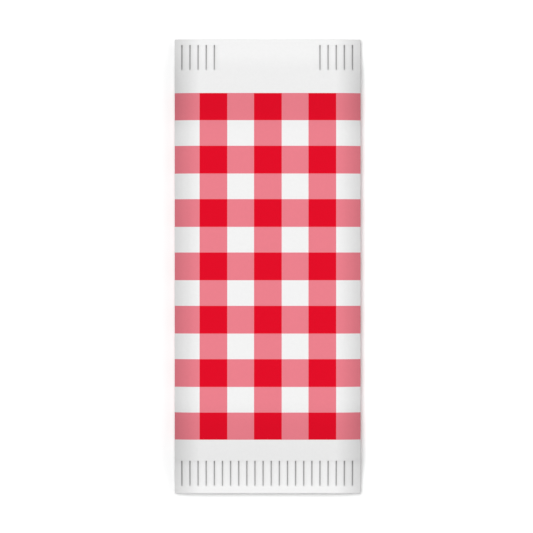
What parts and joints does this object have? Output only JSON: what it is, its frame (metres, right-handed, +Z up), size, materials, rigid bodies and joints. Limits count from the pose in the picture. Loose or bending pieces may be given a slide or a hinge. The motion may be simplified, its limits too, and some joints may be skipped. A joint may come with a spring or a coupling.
{
  "type": "sachet-packed table napkin",
  "caption": "Flat pillow sachet of gingham-printed paper with crimped ends, a folded back fin, a tear-off cap and a folded table napkin inside.",
  "frame": {"origin": "on the surface that the sachet lies on, under the middle of its length and width", "axes": "+Z up out of the printed front face; +Y along the sachet to the end that tears off; +X to the right of the printed face"},
  "size_m": [0.0684, 0.167, 0.008],
  "materials": {
    "printed_paper": "satin heat-seal paper, printed with a red and white gingham check",
    "plain_paper": "satin heat-seal paper, unprinted white",
    "napkin_cloth": "soft matte weave with a red and white gingham check"
  },
  "bodies": {
    "pouch": {"pouch_front_paper": "printed_paper", "pouch_back_paper_left": "printed_paper", "pouch_back_paper_right": "printed_paper", "pouch_fin_outer_ply": "printed_paper", "pouch_fin_inner_ply": "printed_paper", "pouch_seal_front_ply": "plain_paper", "pouch_seal_back_ply": "plain_paper"},
    "cap": {"cap_front_paper": "plain_paper", "cap_back_paper_left": "plain_paper", "cap_back_paper_right": "plain_paper", "cap_fin_outer_ply": "plain_paper", "cap_fin_inner_ply": "plain_paper", "cap_seal_front_ply": "plain_paper", "cap_seal_back_ply": "plain_paper"},
    "napkin": {"napkin": "napkin_cloth"}
  },
  "joints": [
    {"name": "cap_tear_off", "type": "slide", "parent": "pouch", "child": "cap", "axis": [0, 1, 0], "range_m": [0, 0.13]},
    {"name": "napkin_draw_out", "type": "slide", "parent": "pouch", "child": "napkin", "axis": [0, 1, 0], "range_m": [0, 0.1105]}
  ],
  "couplings": [
    {"joint": "napkin_draw_out", "follows": "cap_tear_off", "ratio": 0.85}
  ]
}
